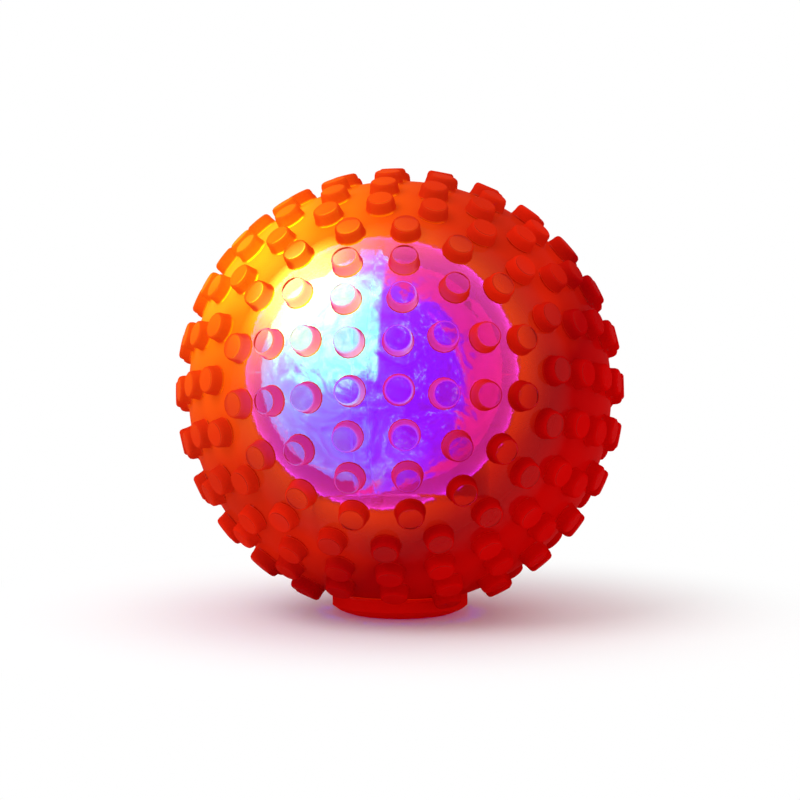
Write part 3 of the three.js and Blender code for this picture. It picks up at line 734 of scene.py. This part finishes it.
# Contacts
# Two strips of nickel-plated steel, cut and bent: a sprung finger under the first cell, and a strap over the
# last one with a leg on each side down to the board.
nickel, dull_nickel, rolled_marks = (0.76, 0.73, 0.68), (0.52, 0.5, 0.46), (1, 1, 0.3)
nickel_strip = plain_metal("nickel_strip", nickel, dull_nickel, 600, 0.22, 0.45, rolled_marks)
dress(["negative_contact", "positive_strap"], nickel_strip)

# Floor
# A plain white sheet that the ball stands on. It takes the ball's soft shadow and a little of its glow, and
# runs out to clear white.
def white_where_seen(tree, shader, share):
    """Makes that share of a sheet clear white to the eye, in gloss and through glass."""
    rays = tree.nodes.new("ShaderNodeLightPath")
    seen = combined(tree, "MAXIMUM", rays.outputs["Is Camera Ray"], rays.outputs["Is Transmission Ray"])
    seen = combined(tree, "MAXIMUM", seen, rays.outputs["Is Glossy Ray"])
    white = tree.nodes.new("ShaderNodeEmission")
    over = tree.nodes.new("ShaderNodeMixShader")
    tree.links.new(combined(tree, "MULTIPLY", seen, share), over.inputs["Fac"])
    tree.links.new(shader.outputs["BSDF"], over.inputs[1])
    tree.links.new(white.outputs["Emission"], over.inputs[2])
    tree.links.new(over.outputs["Shader"], tree.nodes["Material Output"].inputs["Surface"])


start_clean()
bpy.ops.mesh.primitive_plane_add(size=2.4, location=(0, 0, -0.02 * mm))
floor = bpy.context.object
floor.name = "floor"
floor_white, tree, shader, place = new_finish("white_sheet")
shader.inputs["Base Color"].default_value = (0.9, 0.9, 0.9, 1)
shader.inputs["Roughness"].default_value = 0.8
shader.inputs["Specular IOR Level"].default_value = 0.1
fade_start, fade_end = 30 * mm, 70 * mm
far_out = between(tree, distance_from(tree, place, (0, 0, 0)), fade_start, fade_end, smooth=True)
white_where_seen(tree, shader, far_out)
floor.data.materials.append(floor_white)

# Backdrop
# A white sheet that hangs well behind the ball, so that the ball stands against clear white and its rubber
# shows that white too.
start_clean()
bpy.ops.mesh.primitive_plane_add(size=1, location=(-0.1, 1.2, 0.1), rotation=(math.radians(90), 0, 0))
backdrop = bpy.context.object
backdrop.name = "backdrop"
sheet_white, tree, shader, place = new_finish("hanging_sheet")
shader.inputs["Base Color"].default_value = (0.9, 0.9, 0.9, 1)
shader.inputs["Roughness"].default_value = 0.9
white_where_seen(tree, shader, 1.0)
backdrop.data.materials.append(sheet_white)

# Light
# An even white room, in which a colour shows about as it is written, and one large soft lamp high in front
# on the left.
world = bpy.data.worlds.new("white_room")
bpy.context.scene.world = world
world.use_nodes = True
sky = world.node_tree.nodes["Background"]
sky.inputs["Color"].default_value = (1, 1, 1, 1)
sky.inputs["Strength"].default_value = 1.0

key_lamp = bpy.data.objects.new("key_lamp", bpy.data.lights.new("key_lamp", "AREA"))
bpy.context.collection.objects.link(key_lamp)
key_lamp.data.size = 0.4
key_lamp.data.energy = 1.4
key_lamp.location = (-0.32, -0.34, 0.46)
key_lamp.rotation_euler = (ball_centre - key_lamp.location).to_track_quat("-Z", "Y").to_euler()

# Camera
# A long lens a little to the right of the front and just above the middle of the ball, which takes up a
# little over half of the frame.
camera = bpy.data.objects.new("camera", bpy.data.cameras.new("camera"))
bpy.context.collection.objects.link(camera)
camera.data.lens = 101.2
camera.data.clip_start = 0.01
azimuth, elevation, reach = math.radians(6.6), math.radians(3.6), 328 * mm
aim = ball_centre - Vector((0, 0, 1.1 * mm))
towards = Vector(
    (math.sin(azimuth) * math.cos(elevation), -math.cos(azimuth) * math.cos(elevation), math.sin(elevation))
)
camera.location = aim + reach * towards
camera.rotation_euler = (-towards).to_track_quat("-Z", "Y").to_euler()
bpy.context.scene.camera = camera
